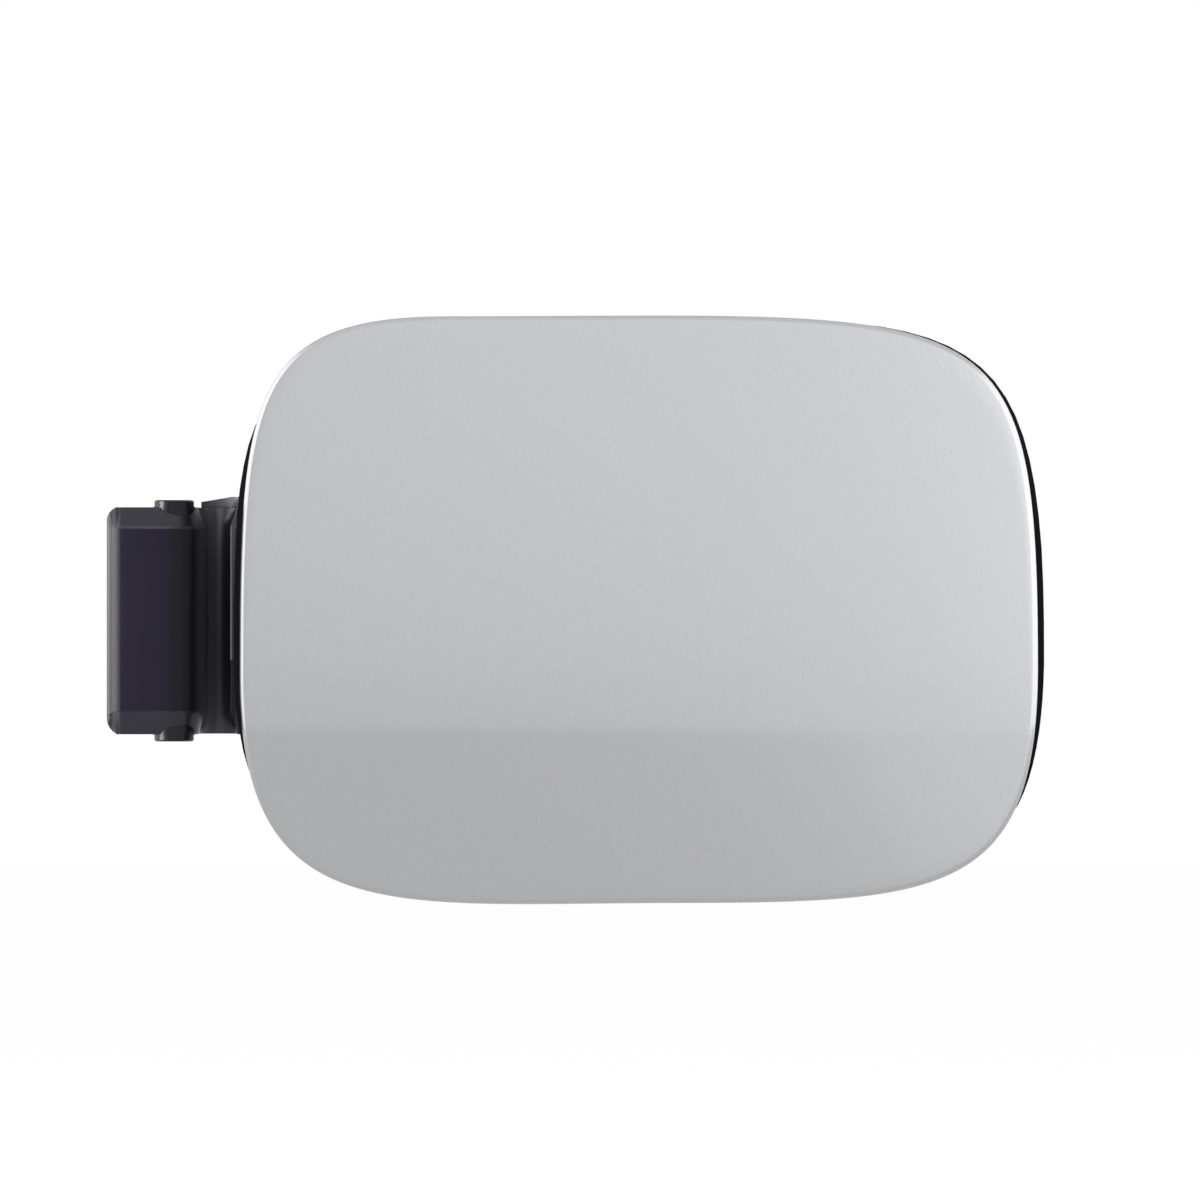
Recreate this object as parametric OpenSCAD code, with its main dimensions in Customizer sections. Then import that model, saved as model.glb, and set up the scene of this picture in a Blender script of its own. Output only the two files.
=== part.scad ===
// Car fuel door: crowned skin, ribbed carrier, gooseneck hinge arm and keyed pivot shaft.
// Millimetres. X runs from the hinge to the free edge, Y into the car, Z up.
// The origin lies on the hinge axis, in the plane of the lower pivot shoulder.

/* [Skin outline] */
// Width of the skin, hinge edge to free edge
skin_width = 199.4; // [188:0.1:212]
// Height of the skin
skin_height = 146.6; // [140:0.1:156]
// Hinge axis to the skin's near edge
skin_left = 16.6; // [16:0.1:18]
// Lowest point of the skin below the lower pivot shoulder
skin_drop = 41.9; // [38:0.1:46]
// Where along the width the top edge peaks
top_share = 0.259; // [0.2:0.001:0.6]
// Where along the width the bottom edge is lowest
bottom_share = 0.546; // [0.4:0.001:0.65]
// Height share of the widest point on the hinge edge
left_share = 0.392; // [0.36:0.001:0.5]
// Height share of the widest point on the free edge
right_share = 0.407; // [0.36:0.001:0.5]
// Corner fullness, hinge edge to top: first and second handle
top_left_pull = [0.767, 0.966]; // [0.6:0.001:1]
// Corner fullness, top to free edge
top_right_pull = [0.927, 1.094]; // [0.6:0.001:1.12]
// Corner fullness, free edge to bottom
low_right_pull = [0.966, 0.752]; // [0.6:0.001:1]
// Corner fullness, bottom to hinge edge
low_left_pull = [0.661, 1.135]; // [0.6:0.001:1.15]

/* [Skin crown] */
// Bend radius of the crown across the width
crown_radius = 1100; // [950:10:1500]
// Skin's outer face in front of the hinge axis, at the hinge edge
skin_standoff = 12.5; // [12:0.1:13.4]
// Height share of the crease
crease_share = 0.294; // [0.25:0.001:0.34]
// Lean of the face just above the crease, degrees
upper_lean = 0.5; // [0.2:0.1:1.5]
// Lean of the face at the top edge, degrees
top_lean = 6; // [4:0.1:7]
// Lean of the face just below the crease, degrees
lower_lean = 6; // [4:0.1:8]
// Lean of the face at the bottom edge, degrees
bottom_lean = 8; // [6:0.1:10]
// Sheet thickness of the skin
skin_sheet = 1.0; // [0.8:0.05:1.1]
// Outer radius of the rolled edge
roll_radius = 2.0; // [1.7:0.1:2.2]
// Depth of the return flange behind the face
flange_depth = 5.2; // [4.6:0.1:5.3]

/* [Carrier] */
// Gap between skin and carrier
carrier_gap = 0.3; // [0.2:0.05:0.4]
// Thickness of the carrier's plate
plate_thick = 2.2; // [1.8:0.1:2.6]
// Carrier's edge inside the skin's outline
carrier_inset = 2.4; // [2.2:0.1:3]
// Thickness of the wall round the carrier
border_wall = 2.2; // [1.8:0.1:2.6]
// Depth of the border wall behind the skin's face
border_depth = 10; // [9.5:0.1:10.6]
// Depth of the ribs behind the skin's face
rib_depth = 9; // [8:0.1:9.3]
// Thickness of the ribs
rib_thick = 1.6; // [1.2:0.1:2]
// Spacing of the ribs
rib_pitch = 20; // [16:0.5:21]
// Thickness of the rim that lies behind the skin's flange
rim_thick = 2.0; // [1.6:0.1:2.1]
// How far the rim shows beyond the free edge
rim_show_right = 1.7; // [1.2:0.05:2.2]
// How far the rim shows beyond the hinge edge
rim_show_left = 1.55; // [0.8:0.05:1.7]

/* [Hinge arm] */
// Height of the arm between its end faces
arm_height = 56.8; // [54:0.1:60]
// Hinge axis to the arm's far side
arm_reach = 16.75; // [15.5:0.05:18]
// Arm's front face in front of the hinge axis
arm_front = 7.5; // [7.2:0.05:8]
// Radius of the arm's nose
nose_radius = 2.9; // [2.5:0.1:4]
// Thickness of the arm's front wall
arm_wall = 2.1; // [1.8:0.1:2.1]
// Thickness of the arm's end walls
arm_cheek = 2.6; // [2.4:0.1:3]
// Depth of the bevel along the arm's ends
bevel_in = 3.5; // [2.8:0.1:3.8]
// Height of the bevel at the top
bevel_top = 5.0; // [3:0.1:6]
// Height of the bevel at the bottom
bevel_bottom = 5.6; // [4:0.1:6.5]
// Corner radius of the far side at the top
corner_top = 3.3; // [1.5:0.1:3.6]
// Corner radius of the far side at the bottom
corner_bottom = 3.9; // [2:0.1:4]
// Rise of the shoulder beside the upper stub
shoulder_start = 1.45; // [0.6:0.05:1.5]
// Rise of the shoulder where the neck meets the root
shoulder_rise = 2.75; // [1.5:0.05:3.5]
// Width of the slot that clears the car's panel edge
slot_width = 6.3; // [6:0.1:7]
// Thickness of the root plate
root_thick = 2.8; // [2.4:0.1:3.2]
// Reach of the root plate from the hinge axis
root_reach = 52; // [50:0.5:54]

/* [Pivot and detent] */
// Diameter of the shaft where the arm turns on it
journal_dia = 10.4; // [10.2:0.05:10.6]
// Running clearance between shaft and arm, radial
pivot_clear = 0.05; // [0.03:0.01:0.08]
// Diameter of the stubs that sit in the car
stub_dia = 9.9; // [9.4:0.05:10]
// Length of the stubs
stub_length = 1.6; // [1.4:0.1:2.2]
// Diameter of the shaft between the journals
shaft_waist = 9.2; // [8.8:0.1:9.4]
// Distance from the axis to the detent flats
flat_depth = 3.7; // [3.4:0.05:3.9]
// Opening angle that the second flat holds
open_angle = 95; // [80:1:100]
// Width of the detent leaf
leaf_width = 16; // [12:0.5:18]
// Thickness of the detent leaf
leaf_thick = 0.6; // [0.4:0.05:0.8]

/* [Fixings] */
// Diameter of studs and screws
thread_dia = 4; // [3.5:0.1:4.2]
// Diameter of the screw heads
head_dia = 7.6; // [7:0.1:8]
// Width across the flats of the nuts
nut_flats = 7; // [6.6:0.1:7.5]
// Diameter of the nut's flange
nut_flange = 10; // [9:0.1:10.5]
// Height of the nuts
nut_height = 4.6; // [4:0.1:5.2]

/* [Back fittings] */
// Length of the lock eye behind its base
eye_length = 20; // [16:0.5:26]
// Bore of the lock eye
eye_bore = 8; // [7:0.1:9]
// Thickness of the lock eye's tongue
eye_thick = 4; // [3.5:0.1:5]
// Width of the slot in the cap holder
holder_slot = 9; // [8:0.1:11]
// Depth of the cap holder's pocket
holder_pocket = 7; // [6:0.1:9]
// Diameter of the rubber stops
stop_dia = 12; // [10:0.1:13]
// Height of the rubber stops
stop_height = 5; // [4:0.1:7]

/* [Hidden] */

paint = [0.76, 0.77, 0.79];
black_plastic = [0.12, 0.12, 0.13];
shaft_plastic = [0.2, 0.2, 0.22];
rubber = [0.07, 0.07, 0.07];
steel = [0.66, 0.67, 0.69];

// Overlap that joins pieces of one body, and the fit of a screw in its own hole
join = 0.1;
screw_clear = 0.05;
hole_clear = 0.35;
fine = 64;
small = 32;

// Panel slot and lip of the arm, from the hinge axis towards the free edge
slot_left = 7.8;
slot_right = slot_left + slot_width;
lip_width = 3.5;

// Levels along the hinge axis
shoulder_gap = 0.2;
arm_bottom = shoulder_gap;
arm_top = arm_bottom + arm_height;
shaft_top = arm_top + shoulder_gap;
arm_middle = (arm_bottom + arm_top) / 2;

// Key points of the skin's outline
skin_bottom = -skin_drop;
skin_top = skin_bottom + skin_height;
skin_right = skin_left + skin_width;
crease_level = skin_bottom + skin_height * crease_share;
crown_middle = skin_left + skin_width / 2;
key_points = [
    [skin_left, skin_bottom + skin_height * left_share],
    [skin_left + skin_width * top_share, skin_top],
    [skin_right, skin_bottom + skin_height * right_share],
    [skin_left + skin_width * bottom_share, skin_bottom]
];
pulls = [top_left_pull, top_right_pull, low_right_pull, low_left_pull];

function clamp(a) = min(1, max(0, a));
function mix(a, b, t) = a + (b - a) * t;

// Control points of one corner: odd corners leave level, even ones leave upright
function corner(k) = let(
    p = key_points[k],
    q = key_points[(k + 1) % 4],
    f = pulls[k],
    level = k % 2 == 1
) [
    p,
    level ? [mix(p[0], q[0], f[0]), p[1]] : [p[0], mix(p[1], q[1], f[0])],
    level ? [q[0], mix(q[1], p[1], f[1])] : [mix(q[0], p[0], f[1]), q[1]],
    q
];

function corner_point(c, t) =
    c[0] * pow(1 - t, 3) + c[1] * 3 * t * pow(1 - t, 2) + c[2] * 3 * t * t * (1 - t) + c[3] * pow(t, 3);

function corner_slope(c, t) =
    (c[1] - c[0]) * pow(1 - t, 2) + (c[2] - c[1]) * 2 * t * (1 - t) + (c[3] - c[2]) * t * t;

// Point and outward direction on a corner: [x, z, nx, nz]
function edge_point(k, t) = let(
    c = corner(k),
    p = corner_point(c, t),
    d = corner_slope(c, t),
    n = norm(d)
) [p[0], p[1], -d[1] / n, d[0] / n];

// Where a corner crosses the crease, by halving
function crease_cross(k, low, high, steps = 30) = let(m = (low + high) / 2)
    steps == 0 ? m :
    (corner_point(corner(k), m)[1] > crease_level) == (k == 2)
        ? crease_cross(k, m, high, steps - 1)
        : crease_cross(k, low, m, steps - 1);

// The outline runs from the crease's left end over the top to its right end, then back below
side_steps = 4;
left_steps = 22;
right_steps = 26;
half_steps = left_steps + right_steps + 2 * side_steps;
quarter_steps = half_steps / 2;
ring_size = 2 * half_steps;
left_cross = crease_cross(3, 0.3, 1);
right_cross = crease_cross(2, 0, 0.9);
outline = [
    for (i = [0 : side_steps - 1]) edge_point(3, mix(left_cross, 1, i / side_steps)),
    for (i = [0 : left_steps - 1]) edge_point(0, i / left_steps),
    for (i = [0 : right_steps - 1]) edge_point(1, i / right_steps),
    for (i = [0 : side_steps - 1]) edge_point(2, mix(0, right_cross, i / side_steps)),
    for (i = [0 : quarter_steps - 1]) edge_point(2, mix(right_cross, 1, i / quarter_steps)),
    for (i = [0 : quarter_steps - 1]) edge_point(3, mix(0, left_cross, i / quarter_steps))
];

function inset_outline(inset) = [for (p = outline) [p[0] - inset * p[2], p[1] - inset * p[3]]];

// Set-back of the face from the crease's plane, leaning further towards the top and the bottom
function lean_back(h, near, far, run) = h * tan(near) + (tan(far) - tan(near)) * h * h / (2 * run);
function set_back(z) = z > crease_level
    ? lean_back(z - crease_level, upper_lean, top_lean, skin_top - crease_level)
    : lean_back(crease_level - z, lower_lean, bottom_lean, crease_level - skin_bottom);
function bend_at(z, depth) = crown_radius - set_back(z) - depth;
crown_back = sqrt(pow(bend_at(arm_middle, 0), 2) - pow(skin_left - crown_middle, 2)) - skin_standoff;
function face_y(x, z, depth) = crown_back - sqrt(pow(bend_at(z, depth), 2) - pow(x - crown_middle, 2));

// Layer between two depths behind the face, as a turned shape about the crown's axis
crown_sweep = 20;
crown_fn = 720;
upper_cuts = 5;
lower_cuts = 3;
layer_levels = [
    for (i = [0 : lower_cuts - 1]) mix(skin_bottom - 8, crease_level, i / lower_cuts),
    for (i = [0 : upper_cuts]) mix(crease_level, skin_top + 8, i / upper_cuts)
];
module crown_layer(near, far) {
    translate([crown_middle, crown_back, 0])
        rotate([0, 0, -90 - crown_sweep / 2])
            rotate_extrude(angle = crown_sweep, $fn = crown_fn)
                polygon(concat(
                    [for (z = layer_levels) [bend_at(z, near), z]],
                    [for (i = [len(layer_levels) - 1 : -1 : 0])
                        [bend_at(layer_levels[i], far), layer_levels[i]]]
                ));
}

// A front view drawn in X and Z, made solid between two levels of Y
module plan(from, to) {
    translate([0, to, 0])
        rotate([90, 0, 0])
            linear_extrude(to - from)
                children();
}

module plan_area(inset) {
    polygon(inset_outline(inset));
}

module layer_plan(near, far) {
    intersection() {
        crown_layer(near, far);
        plan(-30, 20) children();
    }
}

// Round bar along Y from one level to another
module bar_y(x, z, from, to, r, sides = small) {
    translate([x, from, z])
        rotate([-90, 0, 0])
            cylinder(h = to - from, r = r, $fn = sides);
}

// Rings of the skin from the face's border round the roll and the flange to the inner face: [inset, depth]
inner_roll = roll_radius - skin_sheet;
roll_steps = 5;
inner_steps = 3;
skin_rings = [
    for (i = [0 : roll_steps])
        [roll_radius * (1 - sin(90 * i / roll_steps)), roll_radius * (1 - cos(90 * i / roll_steps))],
    [0, flange_depth],
    [skin_sheet, flange_depth],
    for (i = [inner_steps : -1 : 0])
        [roll_radius - inner_roll * sin(90 * i / inner_steps), roll_radius - inner_roll * cos(90 * i / inner_steps)]
];
upper_rows = 12;
lower_rows = 6;
patch_size = (half_steps - 1) * (upper_rows + lower_rows - 1);

function ring_points(inset, depth) = [
    for (p = inset_outline(inset)) [p[0], face_y(p[0], p[1], depth), p[1]]
];

// Points of the face inside its border ring: the crease row, then the rows above and below it
function patch_points(inset, depth) = let(
    border = inset_outline(inset),
    west = border[0],
    east = border[half_steps]
) [
    for (j = [-(upper_rows - 1) : lower_rows - 1])
        for (i = [1 : half_steps - 1]) let(
            crease = mix(west, east, i / half_steps),
            rim = j < 0 ? border[i] : border[ring_size - i],
            share = j < 0 ? -j / upper_rows : j / lower_rows,
            p = mix(crease, rim, share)
        ) [p[0], face_y(p[0], p[1], depth), p[1]]
];

function patch_index(base, ring, j, i) =
    i == 0 ? ring :
    i == half_steps ? ring + half_steps :
    j == -upper_rows ? ring + i :
    j == lower_rows ? ring + ring_size - i :
    base + (j + upper_rows - 1) * (half_steps - 1) + i - 1;

function patch_faces(base, ring, flip) = [
    for (j = [-upper_rows : lower_rows - 1])
        for (i = [0 : half_steps - 1]) let(
            a = patch_index(base, ring, j, i),
            b = patch_index(base, ring, j, i + 1),
            c = patch_index(base, ring, j + 1, i + 1),
            d = patch_index(base, ring, j + 1, i)
        ) for (f = [[a, b, c], [a, c, d]])
            if (f[0] != f[1] && f[1] != f[2] && f[0] != f[2])
                flip ? [f[2], f[1], f[0]] : f
];

function band_faces(count, rings) = [
    for (r = [0 : rings - 2])
        for (i = [0 : count - 1]) let(
            n = (i + 1) % count,
            a = r * count
        ) for (f = [[a + i, a + count + i, a + n], [a + n, a + count + i, a + count + n]]) f
];

module outer_skin() {
    rings = len(skin_rings);
    front_base = rings * ring_size;
    back_base = front_base + patch_size;
    color(paint)
        polyhedron(
            points = concat(
                [for (r = skin_rings) each ring_points(r[0], r[1])],
                patch_points(skin_rings[0][0], skin_rings[0][1]),
                patch_points(skin_rings[rings - 1][0], skin_rings[rings - 1][1])
            ),
            faces = concat(
                band_faces(ring_size, rings),
                patch_faces(front_base, 0, false),
                patch_faces(back_base, (rings - 1) * ring_size, true)
            ),
            convexity = 6
        );
}

// Depths inside the carrier, and where its rim shows
plate_front = skin_sheet + carrier_gap;
plate_back = plate_front + plate_thick;
rim_front = flange_depth + 0.4;
rim_back = rim_front + rim_thick;
rim_tuck = 1.2;
rim_left_zone = [skin_bottom + 32.9, 35, 20, skin_top - 26.7];
rim_right_zone = [skin_bottom + 22.9, 38, 58, skin_top - 1.7];
pad_plane = -3.5;
lip_front = pad_plane - 0.5;

// The zone holds the lower end, the two fades and the upper end. The rim tucks in past the ends
rim_fade = 6;
function rim_reach(p) = let(
    right = p[0] > crown_middle,
    zone = right ? rim_right_zone : rim_left_zone,
    show = right ? rim_show_right : rim_show_left,
    low = p[1] - zone[0],
    high = zone[3] - p[1]
) low < 0 || high < 0
    ? -rim_tuck * clamp(-min(low, high) / rim_fade)
    : show * sqrt(min(1, low / zone[1], high / zone[2]));

module rim_area() {
    polygon([for (p = outline) [p[0] + rim_reach(p) * p[2], p[1] + rim_reach(p) * p[3]]]);
}

// Rib lines stand symmetrically about the middle of the door
rib_columns = floor(skin_width / 2 / rib_pitch);
rib_rows = floor(skin_height / 2 / rib_pitch);
door_middle = (skin_bottom + skin_top) / 2;
module rib_area() {
    intersection() {
        plan_area(carrier_inset + join);
        union() {
            for (i = [-rib_columns : rib_columns])
                translate([crown_middle + i * rib_pitch - rib_thick / 2, skin_bottom])
                    square([rib_thick, skin_height]);
            for (i = [-rib_rows : rib_rows])
                translate([skin_left, door_middle + i * rib_pitch - rib_thick / 2])
                    square([skin_width, rib_thick]);
        }
    }
}

// Seat of the arm on the carrier
seat_left = skin_left + carrier_inset;
seat_right = root_reach + 1.5;
seat_low = arm_bottom + 0.8;
seat_high = arm_top - 0.8;
boss_radius = 4.6;
root_gap = 0.6;
lip_gap = 0.8;
arm_screw_inset = [9.9, 8];
arm_screw_span = 17.6;
arm_screw_x = [slot_right + arm_screw_inset[0], root_reach - arm_screw_inset[1]];
arm_screw_z = [arm_middle - arm_screw_span, arm_middle + arm_screw_span];
arm_screws = [for (x = arm_screw_x) for (z = arm_screw_z) [x, z]];
module seat_area() {
    difference() {
        translate([seat_left, seat_low]) square([seat_right - seat_left, seat_high - seat_low]);
        for (part = [0, 1, 2])
            for (level = [0, 1, 2]) let(
                w = (seat_right - seat_left - rib_thick) / 3,
                h = (seat_high - seat_low - rib_thick) / 3
            )
                translate([seat_left + rib_thick + part * w, seat_low + rib_thick + level * h])
                    square([w - rib_thick, h - rib_thick]);
    }
}

// Stud, stop and fitting places, measured from the skin's edges and its middle: [x, z]
stud_inset = [26, 21];
stud_half_gap = 42;
studs = [
    [skin_left + stud_inset[0], (arm_top + shoulder_rise + skin_top) / 2],
    [crown_middle, skin_top - stud_inset[1] + 2],
    [skin_right - stud_inset[0] - 4, skin_top - stud_inset[1]],
    [crown_middle - stud_half_gap, skin_bottom + stud_inset[1]],
    [crown_middle + stud_half_gap, skin_bottom + stud_inset[1]]
];
stud_seat_depth = 6;
stud_seat_radius = 6.5;
stop_inset = [20, 38.7];
low_stop_inset = [23, 27.9];
stops = [
    [skin_right - stop_inset[0], skin_top - stop_inset[1]],
    [skin_right - low_stop_inset[0], skin_bottom + low_stop_inset[1]]
];
stop_seat_depth = 9.5;
stop_stem = 6;
stop_hole_depth = 5.4;
eye_inset = 15;
eye_drop = 5;
eye_place = [skin_right - eye_inset, door_middle - eye_drop];
eye_base = [14, 3, 36];
eye_screw_span = 13.5;
holder_rise = 4.6;
holder_place = [crown_middle, door_middle + holder_rise];
holder_base = [44, 2.5, 20];
holder_screw_span = 18;
fitting_depth = 10;
eye_seat = face_y(eye_place[0], eye_place[1], fitting_depth);
holder_seat = face_y(holder_place[0], holder_place[1], fitting_depth);
eye_screws = [for (s = [-1, 1]) [eye_place[0], eye_place[1] + s * eye_screw_span]];
holder_screws = [for (s = [-1, 1]) [holder_place[0] + s * holder_screw_span, holder_place[1]]];
pilot_length = 7.5;

module carrier_boss(place, radius, to) {
    bar_y(place[0], place[1], face_y(place[0], place[1], plate_front + 1.2), to, radius);
}

module pilot(place, to) {
    bar_y(place[0], place[1], to - pilot_length, to + 1, thread_dia / 2 + screw_clear);
}

module carrier_body() {
    layer_plan(plate_front, plate_back) plan_area(carrier_inset);
    layer_plan(plate_back - join, border_depth)
        difference() {
            plan_area(carrier_inset);
            plan_area(carrier_inset + border_wall);
        }
    layer_plan(rim_front, rim_back)
        difference() {
            rim_area();
            plan_area(carrier_inset + border_wall / 2);
        }
    layer_plan(plate_back - join, rib_depth) rib_area();
    intersection() {
        crown_layer(plate_back - join, 20);
        plan(-30, pad_plane) seat_area();
    }
    for (p = arm_screws) carrier_boss(p, boss_radius, pad_plane);
    for (p = studs) carrier_boss(p, stud_seat_radius, face_y(p[0], p[1], stud_seat_depth));
    for (p = stops) carrier_boss(p, stop_dia / 2, face_y(p[0], p[1], stop_seat_depth));
    for (p = eye_screws) carrier_boss(p, boss_radius, eye_seat);
    for (p = holder_screws) carrier_boss(p, boss_radius, holder_seat);
}

module inner_carrier() {
    color(black_plastic)
        difference() {
            carrier_body();
            // Room for the arm's root and its lip
            translate([slot_left, pad_plane, arm_bottom - root_gap])
                cube([root_reach + root_gap - slot_left, 30, arm_height + shoulder_rise + 2 * root_gap]);
            translate([slot_left, lip_front - lip_gap, arm_bottom - root_gap])
                cube([slot_width + lip_width + lip_gap, 30, arm_height + shoulder_rise + 2 * root_gap]);
            for (p = arm_screws) pilot(p, pad_plane);
            for (p = eye_screws) pilot(p, eye_seat);
            for (p = holder_screws) pilot(p, holder_seat);
            for (p = studs) {
                bar_y(p[0], p[1], -30, 10, thread_dia / 2 + hole_clear);
                bar_y(p[0], p[1], -30, face_y(p[0], p[1], plate_front + 1.6), thread_dia + 0.4);
                bar_y(p[0], p[1], face_y(p[0], p[1], stud_seat_depth), 10, nut_flange / 2 + 0.9);
            }
            for (p = stops) {
                bar_y(p[0], p[1], face_y(p[0], p[1], stop_seat_depth), 10, stop_dia / 2 + 0.8);
                bar_y(p[0], p[1], face_y(p[0], p[1], stop_seat_depth - stop_hole_depth), 10,
                    stop_stem / 2 + screw_clear);
            }
            // Flat seats behind the two fittings
            translate([eye_place[0] - eye_base[0] / 2 - 0.5, eye_seat, eye_place[1] - eye_base[2] / 2 - 0.5])
                cube([eye_base[0] + 1, 20, eye_base[2] + 1]);
            translate([holder_place[0] - holder_base[0] / 2 - 0.5, holder_seat,
                    holder_place[1] - holder_base[2] / 2 - 0.5])
                cube([holder_base[0] + 1, 20, holder_base[2] + 1]);
        }
}

// Path of the arm's front wall seen from above: [x, y, inward x, inward y, bevel share, side share]
knuckle_radius = arm_front + 2;
knuckle_x = slot_left - knuckle_radius;
slot_radius = slot_width / 2;
slot_turn = 12.65;
arm_back = 20.5;
arm_back_left = 14;
arm_back_run = 8.75;
lip_radius = 0.4;
neck_bevel = 0.5;
arc_steps = 8;
nose_x = nose_radius - arm_reach;
nose_y = nose_radius - arm_front;

// Points along an arc, with the bevel share going from one value to another
function arm_arc(cx, cy, r, start, end, share_a, share_b, round_a, round_b, hollow = 1, steps = arc_steps) = [
    for (i = [0 : steps]) let(a = mix(start, end, i / steps))
        [cx + r * cos(a), cy + r * sin(a), -hollow * cos(a), -hollow * sin(a),
            mix(share_a, share_b, i / steps), mix(round_a, round_b, i / steps)]
];

back_slope = (arm_back - arm_back_left) / arm_back_run;
arm_path = concat(
    [[-arm_reach, arm_back_left, 1, back_slope, 0, 1]],
    arm_arc(nose_x, nose_y, nose_radius, 180, 270, 0, 1, 1, 0),
    arm_arc(knuckle_x, 2, knuckle_radius, 270, 360, 1, neck_bevel, 0, 0),
    arm_arc(slot_left + slot_radius, slot_turn, slot_radius, 180, 0, neck_bevel, neck_bevel, 0, 0, -1, 12),
    [for (a = [180, 210, 240, 270])
        [slot_right + lip_radius + lip_radius * cos(a), lip_front + lip_radius + lip_radius * sin(a),
            1, 1, neck_bevel, 0]],
    [
        [slot_right + lip_width, lip_front, 0, 1, neck_bevel, 0],
        [slot_right + lip_width, pad_plane, 0, 0, 0, 0],
        [root_reach, pad_plane, 0, 0, 0, 0],
        [root_reach, pad_plane + root_thick, 0, 0, 0, 0],
        [root_reach - 12, pad_plane + root_thick + 2.7, 0, 0, 0, 0],
        [26, 12, 0, 0, 0, 0],
        [18, 19, 0, 0, 0, 0],
        [slot_right - 0.5, arm_back, 0, 0, 0, 0],
        [arm_back_run - arm_reach, arm_back, 0, 0, 0, 0]
    ]
);

// Levels of the arm: [z, inset of the bevel, inset of the far side]. The first and the last lie past the end faces
past = 0.2;
corner_steps = 5;
// The nose's radius limits the corners that it turns into
corner_limit = 1.35 * nose_radius;
low_corner = min(corner_bottom, corner_limit);
high_corner = min(corner_top, corner_limit);
function side_inset(h, r) = h < 0 ? r : h > r ? 0 : r - sqrt(r * r - (r - h) * (r - h));
function arm_level(z, h, bevel, r) = [z, bevel_in * max(0, 1 - h / bevel), side_inset(h, r)];
function corner_levels(bevel, r) = concat(
    [-past * bevel],
    [for (i = [corner_steps - 1 : -1 : 0]) r * (1 - sin(90 * i / corner_steps))],
    [bevel]
);
low_levels = corner_levels(bevel_bottom, low_corner);
high_levels = corner_levels(bevel_top, high_corner);
arm_rings = concat(
    [for (h = low_levels) arm_level(arm_bottom + h, h, bevel_bottom, low_corner)],
    [for (i = [len(high_levels) - 1 : -1 : 0]) let(h = high_levels[i])
        arm_level(arm_top - h, h, bevel_top, high_corner)]
);
shoulder_ring = arm_level(arm_top, -past * bevel_top, bevel_top, high_corner);
function arm_ring(ring) = [
    for (p = arm_path) let(s = mix(ring[1] * p[4], ring[2], p[5]))
        [p[0] + s * p[2], p[1] + s * p[3]]
];

module arm_solid() {
    count = len(arm_path);
    rings = len(arm_rings);
    polyhedron(
        points = [for (r = arm_rings) for (p = arm_ring(r)) [p[0], p[1], r[0]]],
        faces = concat(
            band_faces(count, rings),
            [[for (i = [0 : count - 1]) i]],
            [[for (i = [count - 1 : -1 : 0]) (rings - 1) * count + i]]
        ),
        convexity = 8
    );
}

// Open space behind the arm's front wall
hollow_path = concat(
    [[-arm_reach + arm_wall, arm_back + 20]],
    [for (a = [180 : 15 : 270])
        [nose_x + (nose_radius - arm_wall) * cos(a), nose_y + (nose_radius - arm_wall) * sin(a)]],
    [for (a = [270 : 11.25 : 360])
        [knuckle_x + (knuckle_radius - arm_wall) * cos(a), 2 + (knuckle_radius - arm_wall) * sin(a)]],
    [for (a = [180 : -15 : 0])
        [slot_left + slot_radius + (slot_radius + arm_wall) * cos(a),
            slot_turn + (slot_radius + arm_wall) * sin(a)]],
    [
        [slot_right + arm_wall, pad_plane + root_thick],
        [root_reach + 10, pad_plane + root_thick],
        [root_reach + 10, arm_back + 20]
    ]
);

// Raised shoulder on the upper end wall, from the pivot towards the root
shoulder_left = stub_dia / 2 + 1.45;
module arm_shoulder() {
    intersection() {
        translate([0, 0, arm_top - join])
            linear_extrude(shoulder_rise + 1)
                polygon(arm_ring(shoulder_ring));
        translate([0, 40, 0])
            rotate([90, 0, 0])
                linear_extrude(60)
                    polygon([
                        [shoulder_left, arm_top - 1],
                        [shoulder_left, arm_top + shoulder_start],
                        [slot_right, arm_top + shoulder_rise],
                        [slot_right + 6, arm_top + shoulder_rise],
                        [slot_right + 20, arm_top],
                        [slot_right + 20, arm_top - 1]
                    ]);
    }
}

// Webs that stiffen the neck and the pivot box
web_thick = 1.8;
neck_webs = [arm_middle - 9.6, arm_middle + 9.6];
box_webs = [arm_middle - 14.6, arm_middle + 14.6];
web_hole = journal_dia / 2 + 0.5;
web_left = -arm_reach + 1.5;
web_front = -arm_front + 1.5;
web_back = 14;
module neck_web(z) {
    translate([0, 0, z - web_thick / 2])
        linear_extrude(web_thick)
            polygon([
                [slot_right + 0.4, arm_back - 1],
                [slot_right + 0.4, pad_plane + 1],
                [root_reach - 3, pad_plane + 1],
                [root_reach - 3, pad_plane + root_thick + 0.5],
                [root_reach - 14, pad_plane + root_thick + 2],
                [26, 10.5],
                [17.4, 18]
            ]);
}

module box_web(z) {
    translate([0, 0, z - web_thick / 2])
        linear_extrude(web_thick)
            difference() {
                translate([web_left, web_front]) square([slot_left - 1 - web_left, web_back - web_front]);
                circle(r = web_hole, $fn = fine);
                translate([0, web_front - 1]) square([slot_left, web_hole + 1 - web_front - arm_front]);
            }
}

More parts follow.
